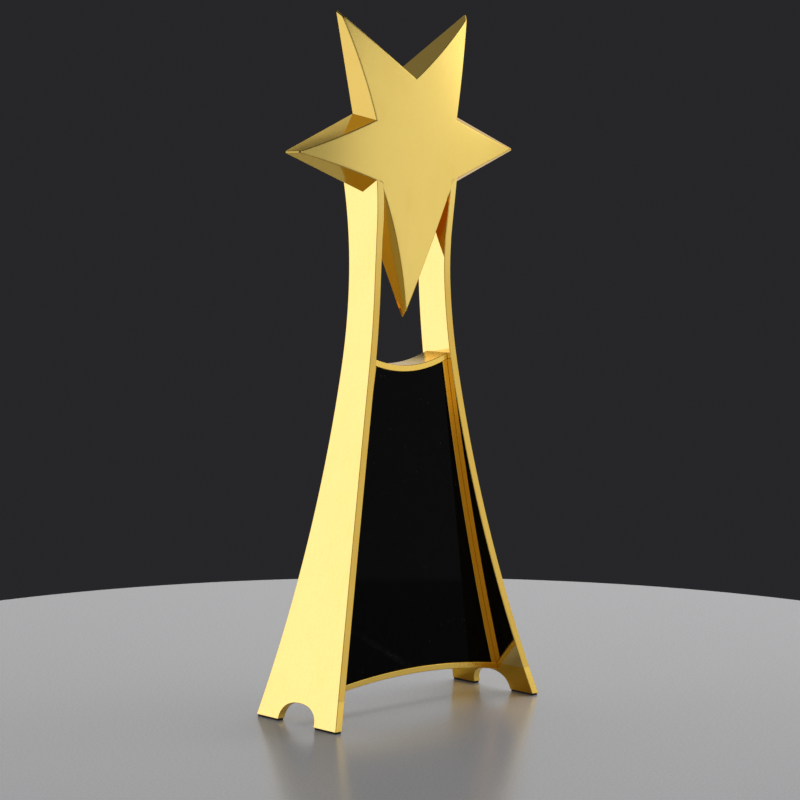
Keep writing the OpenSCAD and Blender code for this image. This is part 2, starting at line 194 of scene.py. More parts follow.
def tip_points(i, depth, inset, softness=0.0):
    """The two ends of the flat on tip i, or four points where its corners are eased."""
    half = math.acos(-along(i - 1).dot(along(i))) / 2
    trim = TIP_FLAT / (2 * math.sin(half))
    place = moved(i, depth, inset)
    ends = [place - trim * along(i - 1), place + trim * along(i)]
    if not softness:
        return ends
    across = (ends[1] - ends[0]).normalized() * softness
    return [ends[0] - softness * along(i - 1), ends[0] + across,
            ends[1] - across, ends[1] + softness * along(i)]


def star_outline(depth_at, inset, steps=1, softness=0.0):
    """Points round the star. depth_at gives the depth at a place, which may follow the dome."""
    posts = []
    for i in range(len(CORNERS)):
        count = (4 if softness else 2) if corner(i)[2] else 1
        for k in range(count):
            posts.append((i, k))

    def place(i, k):
        depth = 6.0
        for _ in range(30):
            if corner(i)[2]:
                point = tip_points(i, depth, inset, softness)[k]
            else:
                point = moved(i, depth, inset)
            depth = 0.5 * depth + 0.5 * depth_at(point.x, point.y)
        return point, depth

    points = []
    for j, (i, k) in enumerate(posts):
        here, depth = place(i, k)
        after, next_depth = place(*posts[(j + 1) % len(posts)])
        long_side = (after - here).length > 14
        count = steps if long_side else 1
        for s in range(count):
            share = s / count
            point = here.lerp(after, share)
            deep = depth
            if long_side and share:
                # the side is flat, so the point keeps to it while the dome changes its depth
                point, deep = place_on_side(i, here, after, depth, next_depth, share, depth_at)
            points.append((point.x, point.y, deep))
    return points


def place_on_side(i, here, after, depth, next_depth, share, depth_at):
    """A point on the flat side after corner i, where that side meets the front, and its depth."""
    slope = corner(i)[3]
    line = here.lerp(after, share)
    line_depth = depth + (next_depth - depth) * share
    deep = line_depth
    for _ in range(30):
        point = line + inward(i) * slope * (deep - line_depth)
        deep = 0.5 * deep + 0.5 * depth_at(point.x, point.y)
    return line + inward(i) * slope * (deep - line_depth), deep


def dome_depth(x, z):
    """How far the domed front stands before the back of the star."""
    return STAR_THICK - DOME_RADIUS + math.sqrt(DOME_RADIUS**2 - x * x - (z - DOME_LEVEL) ** 2)


# ---------- ways of making pieces ----------


def deselect():
    if bpy.context.object and bpy.context.object.mode != "OBJECT":
        bpy.ops.object.mode_set(mode="OBJECT")
    bpy.ops.object.select_all(action="DESELECT")


def ring_piece(name, points):
    """A closed loop of edges through the points, left in edit mode. Vertices keep their numbers."""
    deselect()
    bpy.ops.mesh.primitive_circle_add(vertices=len(points), radius=0.01, fill_type="NOTHING")
    piece = bpy.context.object
    piece.name = piece.data.name = name
    bpy.ops.object.mode_set(mode="EDIT")
    shape = bmesh.from_edit_mesh(piece.data)
    number = shape.verts.layers.int.new("place")
    shape.verts.ensure_lookup_table()
    for i, vertex in enumerate(shape.verts):
        vertex[number] = i
        vertex.co = Vector(points[i]) * MM
    bmesh.update_edit_mesh(piece.data)
    bpy.ops.mesh.select_all(action="SELECT")
    return piece


def draw_out(piece, points):
    """Extrudes the selected loop and sets the new loop on the points."""
    bpy.ops.mesh.extrude_edges_move()
    shape = bmesh.from_edit_mesh(piece.data)
    number = shape.verts.layers.int["place"]
    for vertex in shape.verts:
        if vertex.select:
            vertex.co = Vector(points[vertex[number]]) * MM
    bmesh.update_edit_mesh(piece.data)


def finish(piece, smooth=33.0):
    """Normals outwards, smooth shading with crisp corners; weighted normals keep flat faces flat."""
    if piece.mode == "EDIT":
        bpy.ops.mesh.select_all(action="SELECT")
        bpy.ops.mesh.remove_doubles(threshold=MERGE * MM)
        bpy.ops.mesh.normals_make_consistent(inside=False)
        bpy.ops.object.mode_set(mode="OBJECT")
    deselect()
    piece.select_set(True)
    bpy.context.view_layer.objects.active = piece
    bpy.ops.object.shade_smooth_by_angle(angle=math.radians(smooth))
    bpy.ops.object.modifier_add(type="WEIGHTED_NORMAL")
    piece.modifiers[-1].keep_sharp = True
    piece.modifiers[-1].weight = 80
    bpy.ops.object.modifier_apply(modifier=piece.modifiers[-1].name)
    return piece


def plate_piece(name, outline, near, far, edge=0.3, axis="y", corner_angle=35.0):
    """A flat outline given thickness, with every sharp edge rounded; left in edit mode."""
    if axis == "y":
        piece = ring_piece(name, [(a, near, b) for a, b in outline])
        step = (0, (far - near) * MM, 0)
    else:
        piece = ring_piece(name, [(near, a, b) for a, b in outline])
        step = ((far - near) * MM, 0, 0)
    bpy.ops.mesh.edge_face_add()
    bpy.ops.mesh.extrude_region_move(TRANSFORM_OT_translate={"value": step})
    bpy.ops.mesh.select_all(action="SELECT")
    bpy.ops.mesh.normals_make_consistent(inside=False)
    bpy.ops.mesh.select_all(action="DESELECT")
    bpy.ops.mesh.select_mode(type="EDGE")
    bpy.ops.mesh.edges_select_sharp(sharpness=math.radians(corner_angle))
    bpy.ops.mesh.bevel(offset=edge * MM, segments=3, profile=0.5, clamp_overlap=True)
    bpy.ops.mesh.select_mode(type="VERT")
    return piece


def slice_levels(levels):
    for level in levels:
        bpy.ops.mesh.select_all(action="SELECT")
        bpy.ops.mesh.bisect(plane_co=(0, 0, level * MM), plane_no=(0, 0, 1))


def give(piece, materials, choose=None):
    """Puts materials in the piece's slots and picks one for each face by its normal and place."""
    piece.data.materials.clear()
    for material in materials:
        piece.data.materials.append(material)
    if choose:
        for face in piece.data.polygons:
            face.material_index = choose(face.normal, face.center / MM)


def placed(piece, slot, *nodes):
    """Every piece stands on the one body and hides the solids it stands for; slot, its finish, is
    not used.
    """
    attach(piece, "root")
    if nodes:
        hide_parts(*nodes)
    return piece


# ---------- finishes ----------


def effect(name, inputs, outputs):
    """An empty shader group with named sockets."""
    tree = bpy.data.node_groups.new(name, "ShaderNodeTree")
    for label, kind, value in inputs:
        socket = tree.interface.new_socket(label, in_out="INPUT", socket_type=kind)
        if value is not None:
            socket.default_value = value
    for label, kind in outputs:
        tree.interface.new_socket(label, in_out="OUTPUT", socket_type=kind)
    return tree, tree.nodes.new("NodeGroupInput"), tree.nodes.new("NodeGroupOutput")


def node(tree, kind, values=None, **settings):
    made = tree.nodes.new(kind)
    for key, value in settings.items():
        setattr(made, key, value)
    for key, value in (values or {}).items():
        made.inputs[key].default_value = value
    return made


def math_node(tree, operation, a, b=None, clamp=False):
    made = node(tree, "ShaderNodeMath", operation=operation, use_clamp=clamp)
    for i, value in enumerate((a, b)):
        if value is None:
            continue
        if hasattr(value, "is_linked"):
            tree.links.new(value, made.inputs[i])
        else:
            made.inputs[i].default_value = value
    return made.outputs[0]


def remap(tree, value, low, high, to_low, to_high):
    made = node(tree, "ShaderNodeMapRange", {"From Min": low, "From Max": high,
                                            "To Min": to_low, "To Max": to_high}, clamp=True)
    tree.links.new(value, made.inputs["Value"])
    return made.outputs["Result"]


def noise(tree, vector, scale, detail=2.0, roughness=0.5, distortion=0.0):
    made = node(tree, "ShaderNodeTexNoise", {"Detail": detail, "Roughness": roughness,
                                            "Distortion": distortion})
    if hasattr(scale, "is_linked"):
        tree.links.new(scale, made.inputs["Scale"])
    else:
        made.inputs["Scale"].default_value = scale
    tree.links.new(vector, made.inputs["Vector"])
    return made.outputs["Fac"]


def stretched(tree, vector, turn, scale):
    made = node(tree, "ShaderNodeMapping", {"Rotation": turn, "Scale": scale})
    tree.links.new(vector, made.inputs["Vector"])
    return made.outputs["Vector"]


VECTOR, FLOAT = "NodeSocketVector", "NodeSocketFloat"


def scratches_effect():
    """Fine hairlines in three directions, in patches, as a mask."""
    tree, start, end = effect("hairline_scratches",
                              [("Vector", VECTOR, None), ("Density", FLOAT, 0.5)], [("Mask", FLOAT)])
    vector = start.outputs["Vector"]
    total = None
    directions = (((0.3, 0.5, 0.2), 90.0), ((1.3, 0.2, 0.9), 120.0), ((0.7, 1.6, 2.1), 75.0))
    for turn, size in directions:
        lines = noise(tree, stretched(tree, vector, turn, (1.0, 26.0, 26.0)), size, 1.0)
        thin = remap(tree, lines, 0.655, 0.70, 0.0, 1.0)
        patch = noise(tree, vector, size * 0.5, 1.0)
        patch = remap(tree, patch, 0.45, 0.62, 0.0, 1.0)
        thin = math_node(tree, "MULTIPLY", thin, patch)
        total = thin if total is None else math_node(tree, "MAXIMUM", total, thin)
    tree.links.new(math_node(tree, "MULTIPLY", total, start.outputs["Density"], True),
                   end.inputs["Mask"])
    return tree


def haze_effect():
    """Cloudy handling marks and dried wipe streaks, as a mask."""
    tree, start, end = effect("handling_haze",
                              [("Vector", VECTOR, None), ("Amount", FLOAT, 0.5)], [("Mask", FLOAT)])
    vector = start.outputs["Vector"]
    broad = remap(tree, noise(tree, vector, 38.0, 3.0, 0.55, 0.6), 0.42, 0.68, 0.0, 1.0)
    streak = noise(tree, stretched(tree, vector, (0.0, 0.35, 0.1), (9.0, 9.0, 1.0)), 42.0, 3.0)
    streak = remap(tree, streak, 0.40, 0.72, 0.0, 1.0)
    both = math_node(tree, "MULTIPLY", broad, math_node(tree, "ADD", streak, 0.35))
    tree.links.new(math_node(tree, "MULTIPLY", both, start.outputs["Amount"], True),
                   end.inputs["Mask"])
    return tree


def dust_effect():
    """Sparse specks of dust, as a mask."""
    tree, start, end = effect("settled_dust",
                              [("Vector", VECTOR, None), ("Amount", FLOAT, 0.5)], [("Mask", FLOAT)])
    cells = node(tree, "ShaderNodeTexVoronoi", {"Scale": 520.0, "Randomness": 1.0})
    tree.links.new(start.outputs["Vector"], cells.inputs["Vector"])
    specks = remap(tree, cells.outputs["Distance"], 0.05, 0.11, 1.0, 0.0)
    rare = remap(tree, noise(tree, start.outputs["Vector"], 160.0, 1.0), 0.60, 0.68, 0.0, 1.0)
    both = math_node(tree, "MULTIPLY", specks, rare)
    tree.links.new(math_node(tree, "MULTIPLY", both, start.outputs["Amount"], True),
                   end.inputs["Mask"])
    return tree


def grain_effect():
    """Very fine blasted grain over a slow unevenness, as a height and a mask."""
    tree, start, end = effect("satin_grain", [("Vector", VECTOR, None), ("Size", FLOAT, 3200.0)],
                              [("Height", FLOAT), ("Mask", FLOAT)])
    vector = start.outputs["Vector"]
    fine = noise(tree, vector, start.outputs["Size"], 3.0, 0.65)
    coarse = noise(tree, vector, math_node(tree, "MULTIPLY", start.outputs["Size"], 0.28), 2.0)
    tree.links.new(math_node(tree, "ADD", fine, math_node(tree, "MULTIPLY", coarse, 0.5)),
                   end.inputs["Height"])
    tree.links.new(remap(tree, coarse, 0.35, 0.65, 0.0, 1.0), end.inputs["Mask"])
    return tree


def rub_effect():
    """Rubbed edges, as a mask."""
    tree, start, end = effect("rubbed_edges",
                              [("Vector", VECTOR, None), ("Amount", FLOAT, 0.5)], [("Mask", FLOAT)])
    shape = node(tree, "ShaderNodeNewGeometry")
    edge = remap(tree, shape.outputs["Pointiness"], 0.52, 0.60, 0.0, 1.0)
    broken = remap(tree, noise(tree, start.outputs["Vector"], 420.0, 3.0), 0.38, 0.62, 0.25, 1.0)
    both = math_node(tree, "MULTIPLY", edge, broken)
    tree.links.new(math_node(tree, "MULTIPLY", both, start.outputs["Amount"], True),
                   end.inputs["Mask"])
    return tree


SCRATCHES, HAZE, DUST, GRAIN, RUB = (scratches_effect(), haze_effect(), dust_effect(),
                                     grain_effect(), rub_effect())


def use(tree, group, vector, **values):
    made = tree.nodes.new("ShaderNodeGroup")
    made.node_tree = group
    for key, value in values.items():
        made.inputs[key].default_value = value
    tree.links.new(vector, made.inputs["Vector"])
    return made


def blend_colour(tree, mask, first, second):
    made = node(tree, "ShaderNodeMix", data_type="RGBA")
    for socket, value in ((made.inputs[6], first), (made.inputs[7], second)):
        if hasattr(value, "is_linked"):
            tree.links.new(value, socket)
        else:
            socket.default_value = (*value, 1.0)
    tree.links.new(mask, made.inputs[0])
    return made.outputs[2]


def finish_material(name, colour, second, rough, rough_worn, grain=0.0, grain_size=3200.0,
                    scratch=0.5, haze=0.6, dust=0.3, rub=0.0, rub_colour=(1, 1, 1), metallic=1.0,
                    edge_tone=(1, 1, 1), specular=0.5, wave=0.0, bump_depth=0.02, towards=None):
    """One surface: two tones mixed by handling, roughness raised by haze and scratches, fine
    relief. edge_tone tints it at grazing angles. towards is a colour it takes on between two
    levels: painted shade below, fading into that colour above."""
    material = bpy.data.materials.new(name)
    material.use_nodes = True
    tree = material.node_tree
    shader = tree.nodes["Principled BSDF"]
    places = node(tree, "ShaderNodeTexCoord").outputs["Object"]
    lines = use(tree, SCRATCHES, places, Density=scratch).outputs["Mask"]
    marks = use(tree, HAZE, places, Amount=haze).outputs["Mask"]
    specks = use(tree, DUST, places, Amount=dust).outputs["Mask"]
    fine = use(tree, GRAIN, places, Size=grain_size)
    tone = math_node(tree, "ADD", math_node(tree, "MULTIPLY", marks, 0.7),
                     math_node(tree, "MULTIPLY", fine.outputs["Mask"], 0.3), True)
    base = blend_colour(tree, tone, colour, second)
    # Painted shade: the surface keeps its darker tones below the lower level and lightens to the
    # upper colour by the upper level.
    if towards:
        low_level, high_level, upper_colour = towards
        level = node(tree, "ShaderNodeSeparateXYZ")
        tree.links.new(places, level.inputs[0])
        share = remap(tree, level.outputs["Z"], low_level * MM, high_level * MM, 0.0, 1.0)
        base = blend_colour(tree, share, base, upper_colour)
    if rub:
        edges = use(tree, RUB, places, Amount=rub).outputs["Mask"]
        base = blend_colour(tree, edges, base, rub_colour)
    dusty = blend_colour(tree, specks, base, (0.55, 0.53, 0.50))
    tree.links.new(dusty, shader.inputs["Base Color"])
    worn = math_node(tree, "ADD", math_node(tree, "MULTIPLY", marks, 0.75),
                     math_node(tree, "MULTIPLY", lines, 0.35), True)
    worn = math_node(tree, "MAXIMUM", worn, specks)
    tree.links.new(remap(tree, worn, 0.0, 1.0, rough, rough_worn), shader.inputs["Roughness"])
    shader.inputs["Metallic"].default_value = metallic
    shader.inputs["Specular IOR Level"].default_value = specular
    shader.inputs["Specular Tint"].default_value = (*edge_tone, 1)
    slow = math_node(tree, "MULTIPLY", noise(tree, places, 55.0, 1.0), wave)
    height = math_node(tree, "ADD", math_node(tree, "MULTIPLY", fine.outputs["Height"], grain),
                       math_node(tree, "MULTIPLY", lines, -0.05))
    height = math_node(tree, "ADD", height, slow)
    bump = node(tree, "ShaderNodeBump", {"Strength": 1.0, "Distance": bump_depth * MM})
    tree.links.new(height, bump.inputs["Height"])
    tree.links.new(bump.outputs["Normal"], shader.inputs["Normal"])
    return material


GOLD, GOLD_DEEP = (1.00, 0.75, 0.28), (0.96, 0.69, 0.22)
GOLD_EDGE_TONE = (1.0, 0.74, 0.25)
gold_mirror = finish_material("gold_mirror", GOLD, GOLD_DEEP, 0.05, 0.17, grain=0.05, scratch=0.4,
                              haze=0.55, dust=0.25, wave=1.5, edge_tone=GOLD_EDGE_TONE)
gold_facet = finish_material("gold_facet", (0.98, 0.69, 0.18), (0.95, 0.65, 0.15), 0.07, 0.18,
                             grain=0.06, scratch=0.35, haze=0.5, dust=0.2, wave=1.0,
                             edge_tone=GOLD_EDGE_TONE)
gold_satin = finish_material("gold_satin", (0.98, 0.73, 0.20), (0.95, 0.68, 0.17), 0.28, 0.38,
                             grain=0.1, scratch=0.4, haze=0.7, dust=0.1, edge_tone=GOLD_EDGE_TONE)
# Painted shade: the legs' front edges get a darker copy of the satin gold. It lightens to the satin
# colour between 180 and 224 mm, where the edges run into the star.
gold_strip_painted_shade = finish_material("gold_strip_painted_shade", (0.82, 0.54, 0.105), (0.78, 0.50, 0.09), 0.28, 0.38,
                             grain=0.5, scratch=0.4, haze=0.6, dust=0.1,
                             towards=(180.0, 224.0, (0.97, 0.71, 0.19)))
# Painted shade: a deeper, darker copy of the facet gold, put on the star's lower point between the
# legs and on the legs' inner faces near the feet.
gold_painted_shade = finish_material("gold_painted_shade", (0.98, 0.58, 0.07), (0.94, 0.53, 0.05), 0.07,
                                 0.18, grain=0.06, scratch=0.3, haze=0.5, dust=0.15,
                                 wave=1.0, edge_tone=GOLD_EDGE_TONE)
gold_edge = finish_material("gold_edge", (0.96, 0.65, 0.13), (0.91, 0.60, 0.11), 0.24, 0.34,
                            grain=0.4, scratch=0.6, haze=0.6, dust=0.25)
gold_trim = finish_material("gold_trim", (0.88, 0.49, 0.055), (0.83, 0.45, 0.045), 0.16, 0.28,
                            grain=0.25, scratch=0.5, haze=0.6, dust=0.3)
black_gloss = finish_material("black_gloss", (0.0010, 0.0010, 0.0011), (0.0018, 0.0018, 0.0019),
                              0.035, 0.14, scratch=0.35, haze=0.5, dust=0.25, metallic=0.0,
                              specular=0.03,
                              rub=0.4, rub_colour=(0.02, 0.02, 0.02), wave=0.6)
core_black = finish_material("core_black", (0.03, 0.03, 0.03), (0.045, 0.045, 0.044), 0.45, 0.6,
                             grain=0.8, metallic=0.0, bump_depth=0.05)
zinc = finish_material("bright_zinc", (0.60, 0.61, 0.63), (0.50, 0.50, 0.50), 0.22, 0.42, grain=0.6,
                       scratch=0.8, haze=0.9, dust=0.4, rub=0.5, rub_colour=(0.75, 0.75, 0.76),
                       bump_depth=0.03)
black_steel = finish_material("black_steel", (0.03, 0.03, 0.032), (0.06, 0.06, 0.06), 0.30, 0.5,
                              grain=0.6, scratch=0.7, rub=0.7, rub_colour=(0.25, 0.25, 0.26))
pad_rubber = finish_material("pad_rubber", (0.022, 0.022, 0.022), (0.04, 0.04, 0.04), 0.75, 0.9,
                             grain=1.0, grain_size=2200.0, metallic=0.0, specular=0.3, scratch=0.1,
                             bump_depth=0.06)

# ---------- star ----------


def as_ring(points):
    return [(x, -STAR_BACK - depth, z) for x, z, depth in points]


SIDE_STEPS = 16
SOFT_TIP = 0.14
EDGE = 0.4
COVER_SEAT = 0.6
DOME_SHARES = (0.985, 0.95, 0.9, 0.83, 0.76, 0.68, 0.6, 0.52, 0.44, 0.36, 0.28, 0.2, 0.12, 0.05)


def flat_ring(depth, inset):
    return as_ring(star_outline(lambda x, z: depth, inset, SIDE_STEPS, SOFT_TIP))


def domed_ring(inset, sink=0.0):
    return as_ring(star_outline(lambda x, z: dome_depth(x, z) - sink, inset, SIDE_STEPS, SOFT_TIP))


def kept_in_leg(ring, plain):
    """Leaves the rounding off where the face of the star runs on into the face of a leg."""
    kept = []
    for eased, crisp in zip(ring, plain):
        across, level = abs(crisp[0]), crisp[2]
        at_leg = 18.0 < across < IN_LEG + 0.01 and NOTCH_BELOW < level < NOTCH_ABOVE + 7
        kept.append(crisp if at_leg else eased)
    return kept


def star_body():
    back_edge = 0.16
    plain = domed_ring(0.0)
    piece = ring_piece("star_casting", flat_ring(COVER_THICK + COVER_SEAT, COVER_RIM))
    rings = [
        flat_ring(0.15, COVER_RIM),
        flat_ring(0.0, COVER_RIM - 0.12),
        flat_ring(0.0, back_edge),
        flat_ring(back_edge * 0.35, back_edge * 0.25),
        flat_ring(back_edge, 0.0),
        kept_in_leg(domed_ring(0.0, EDGE * 1.1), plain),
        kept_in_leg(domed_ring(EDGE * 0.12, EDGE * 0.45), plain),
        kept_in_leg(domed_ring(EDGE * 0.45, EDGE * 0.1), plain),
        kept_in_leg(domed_ring(EDGE, 0.0), plain),
    ]
    for ring in rings:
        draw_out(piece, ring)
    rim = rings[-1]
    middle = Vector((0.0, DOME_LEVEL))
    for share in DOME_SHARES:
        ring = []
        for x, _, z in rim:
            place = middle + (Vector((x, z)) - middle) * share
            ring.append((place.x, -STAR_BACK - dome_depth(place.x, place.y), place.y))
        draw_out(piece, ring)
    bpy.ops.mesh.merge(type="CENTER")
    bpy.ops.mesh.select_all(action="DESELECT")
    shape = bmesh.from_edit_mesh(piece.data)
    floor_y = (-STAR_BACK - COVER_THICK - COVER_SEAT) * MM
    for edge in shape.edges:
        edge.select_set(edge.is_boundary and abs(edge.verts[0].co.y - floor_y) < 0.01 * MM)
    bpy.ops.mesh.edge_face_add()
    finish(piece)

    def which(normal, place):
        if normal.y < -0.93:
            return 0
        if normal.y > 0.9:
            return 2
        # The lower point's faces between the legs take slot 3, the gold with painted shade.
        return 3 if place.z < NOTCH_ABOVE and abs(place.x) < IN_LEG + 0.1 else 1

    give(piece, [gold_satin, gold_facet, gold_edge, gold_painted_shade], which)
    return placed(piece, "gold_star", "star_body")


star_body()

# ---------- legs ----------


def arch_points():
    """From the back foot to the front foot, over the arch."""
    turns = [math.radians(turn) for turn in spread(0.0, 180.0, 30)]
    crest = ARCH_HEIGHT - PAD
    return [(ARCH_HALF * sign_power(math.cos(turn)), PAD + crest * sign_power(math.sin(turn)))
            for turn in turns]


def sign_power(value):
    """Fills the arch out a little beyond an ellipse."""
    return math.copysign(abs(value) ** ARCH_FILL, value)


LEVELS = spread(PAD, LEG_TOP, 84)


def star_shaped_block(name, near, deep, inset):
    """Plain sloped block in the shape of the star, between two depths."""
    back = flat_ring(near, inset)
    front = flat_ring(deep, inset)
    piece = ring_piece(name, back)
    bpy.ops.mesh.edge_face_add()
    bpy.ops.mesh.extrude_region_move()
    shape = bmesh.from_edit_mesh(piece.data)
    number = shape.verts.layers.int["place"]
    for vertex in shape.verts:
        if vertex.select:
            vertex.co = Vector(front[vertex[number]]) * MM
    bmesh.update_edit_mesh(piece.data)
    bpy.ops.mesh.select_all(action="SELECT")
    bpy.ops.mesh.normals_make_consistent(inside=False)
    deselect()
    return piece


def cut_away(piece, tool, operation="DIFFERENCE"):
    """Takes the tool out of the piece, or with INTERSECT keeps what lies inside it."""
    deselect()
    piece.select_set(True)
    bpy.context.view_layer.objects.active = piece
    bpy.ops.object.modifier_add(type="BOOLEAN")
    cut = piece.modifiers[-1]
    cut.operation, cut.object, cut.solver = operation, tool, "EXACT"
    bpy.ops.object.modifier_apply(modifier=cut.name)


HEAD_WIDTH, HEAD_DEPTH = 200.0, 30.0


def head_block():
    """Block that clears the legs off in front of the star's back, above the bridge's middle."""
    deselect()
    low, high = BRIDGE_LEVEL, LEG_TOP + 5
    centre = (0, (-STAR_BACK - HEAD_DEPTH / 2) * MM, (low + high) / 2 * MM)
    bpy.ops.mesh.primitive_cube_add(size=1, location=centre)
    piece = bpy.context.object
    piece.scale = (HEAD_WIDTH * MM, HEAD_DEPTH * MM, (high - low) * MM)
    bpy.ops.object.transform_apply(location=True, rotation=True, scale=True)
    return piece


UNDER_RAIL = 12.0


def leg(side, name, cad_name, tools):
    front = [(-leg_reach(z, True), z) for z in LEVELS]
    back = [(leg_reach(z), z) for z in reversed(LEVELS)]
    outline = front + back + arch_points()
    piece = plate_piece(name, outline, 0.0, PLATE, edge=0.32, axis="x")
    slice_levels([z for z in LEVELS[1:-1] if z > 1.4])
    shape = bmesh.from_edit_mesh(piece.data)
    for vertex in shape.verts:
        z = min(max(vertex.co.z / MM, 0.0), LEG_TOP)
        lean = (leg_x(z + 0.5) - leg_x(z - 0.5)) if z > 0.5 else leg_x(1.0) - leg_x(0.0)
        thick = math.sqrt(1 + lean**2)
        x = leg_x(z) - vertex.co.x / MM * thick
        if vertex.co.y < -4 * MM and z > FLUSH_FROM:
            share = min((z - FLUSH_FROM) / (FLUSH_FULL - FLUSH_FROM), 1.0)
            vertex.co.y -= share * (dome_depth(x, z) - dome_depth(STRIP_MIDDLE, z)) * MM
        vertex.co.x = side * x * MM
    bmesh.update_edit_mesh(piece.data)
    bpy.ops.mesh.select_all(action="SELECT")
    bpy.ops.mesh.remove_doubles(threshold=MERGE * MM)
    bpy.ops.mesh.normals_make_consistent(inside=False)
    deselect()
    for tool in tools:
        cut_away(piece, tool)
    finish(piece)

    def which(normal, place):
        if abs(normal.x) > 0.86:
            # Inner faces near the feet take slot 3, the gold with painted shade.
            return 3 if normal.x * side < 0 and place.z < UNDER_RAIL else 0
        # Front edges above the rail take slot 1, gold with painted shade lower down.
        return 1 if normal.y < -0.5 and place.z > UNDER_RAIL else 2

    give(piece, [gold_mirror, gold_strip_painted_shade, gold_edge, gold_painted_shade], which)
    return placed(piece, "gold_leg", cad_name)


leg_tools = [star_shaped_block("fitting_block", 0.0, STAR_THICK - 0.5, 0.8), head_block()]
leg(-1, "leg_plate_left", "left_leg", leg_tools)
leg(1, "leg_plate_right", "right_leg", leg_tools)
for tool in leg_tools:
    bpy.data.objects.remove(tool)

# ---------- panel frame ----------


def side_curve(inset, low, high, count):
    return [(leg_x(z, inset), z) for z in spread(low, high, count)]


def mirrored(points):
    return [(-x, z) for x, z in reversed(points)]


INNER = PLATE + FACE_GAP


def strip(side, name, cad_name):
    near, far = INNER, PLATE + JOINT_GAP + STRIP
    _, low_near = where_they_meet(bottom_rail_z, near, END_GAP)
    _, high_near = where_they_meet(top_rail_z, near, RAIL + END_GAP)
    _, low_far = where_they_meet(bottom_rail_z, far, END_GAP)
    _, high_far = where_they_meet(top_rail_z, far, RAIL + END_GAP)
    near_side = side_curve(near, low_near, high_near, 48)
    far_side = side_curve(far, low_far, high_far, 48)
    outline = near_side + list(reversed(far_side))
    if side < 0:
        outline = [(-x, z) for x, z in outline]
    piece = plate_piece(name, outline, -STRIP_REACH, STRIP_REACH, edge=0.22)
    finish(piece)
    give(piece, [gold_trim])
    return placed(piece, "gold_trim", cad_name)


strip(-1, "side_strip_left", "left_strip")
strip(1, "side_strip_right", "right_strip")


def rail(name, cad_name, rail_z, upper, lower):
    top_x, _ = where_they_meet(rail_z, INNER, upper)
    low_x, _ = where_they_meet(rail_z, INNER, lower)
    above = [(x, rail_z(x, upper)) for x in spread(-top_x, top_x, 48)]
    below = [(x, rail_z(x, lower)) for x in spread(low_x, -low_x, 48)]
    piece = plate_piece(name, above + below, -RAIL_REACH, RAIL_REACH, edge=0.3)
    finish(piece)
    give(piece, [gold_edge])
    return placed(piece, "gold_trim", cad_name)


rail("rail_top", "top_rail", top_rail_z, 0.0, RAIL)
rail("rail_bottom", "bottom_rail", bottom_rail_z, 0.0, -RAIL)


def panel(name, cad_name, near, far):
    side = PLATE + JOINT_GAP + STRIP + PANEL_PLAY
    end = JOINT_GAP + PANEL_PLAY
    low_x, low_z = where_they_meet(bottom_rail_z, side, end)
    high_x, high_z = where_they_meet(top_rail_z, side, RAIL + end)
    right = side_curve(side, low_z, high_z, 48)
    top = [(x, top_rail_z(x, RAIL + end)) for x in spread(high_x, -high_x, 24)[1:-1]]
    bottom = [(x, bottom_rail_z(x, end)) for x in spread(-low_x, low_x, 24)[1:-1]]
    piece = plate_piece(name, right + top + mirrored(right) + bottom, near, far, edge=0.25)
    finish(piece)
    give(piece, [black_gloss])
    return placed(piece, "black_panel", cad_name)


panel("panel_front", "front_panel", -PANEL_REACH, -PANEL_REACH + PANEL)
panel("panel_back", "back_panel", PANEL_REACH - PANEL, PANEL_REACH)

# ---------- small parts, softened copies of the solids ----------


def softened(cad_name, name, material, slot, width, segments=2, angle=38.0):
    """A copy of a plain solid with its flat faces joined and its edges rounded."""
    deselect()
    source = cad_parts[cad_name]
    source.select_set(True)
    bpy.context.view_layer.objects.active = source
    piece = source.copy()
    piece.data = source.data.copy()
    bpy.context.collection.objects.link(piece)
    piece.name = piece.data.name = name
    deselect()
    piece.select_set(True)
    bpy.context.view_layer.objects.active = piece
    bpy.ops.object.mode_set(mode="EDIT")
    bpy.ops.mesh.select_all(action="SELECT")
    bpy.ops.mesh.remove_doubles(threshold=0.001 * MM)
    bpy.ops.mesh.dissolve_limited(angle_limit=math.radians(1.0))
    bpy.ops.object.mode_set(mode="OBJECT")
    bpy.ops.object.modifier_add(type="BEVEL")
    bevel = piece.modifiers[-1]
    bevel.width, bevel.segments, bevel.limit_method = width * MM, segments, "ANGLE"
    bevel.angle_limit = math.radians(angle)
    bpy.ops.object.modifier_apply(modifier=bevel.name)
    finish(piece)
    give(piece, [material])
    return placed(piece, slot, cad_name)


back_cover = softened("star_cover", "star_back_cover", gold_edge, "gold_star", 0.15)
recess = star_shaped_block("recess_block", -0.5, COVER_THICK + 0.4, COVER_RIM + 0.12)
cut_away(back_cover, recess, "INTERSECT")
bpy.data.objects.remove(recess)
give(back_cover, [gold_edge])
softened("star_cover_screws", "cover_screws", zinc, "steel_screw", 0.08)
softened("star_bridge", "bridge_bracket", zinc, "steel_bracket", 0.25)
softened("bridge_star_screws", "bracket_screws", zinc, "steel_screw", 0.15)
softened("bridge_leg_screws", "side_screws", zinc, "steel_screw", 0.12)
softened("panel_screws", "back_panel_screws", black_steel, "dark_screw", 0.15)
softened("foot_pads", "pads_under_feet", pad_rubber, "pad_rubber", 0.15)

HIDDEN = {"panel_core": core_black, "rail_pins": zinc, "strip_pins": zinc}
for name, material in HIDDEN.items():
    give(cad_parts[name], [material])

# ---------- floor, light and camera ----------


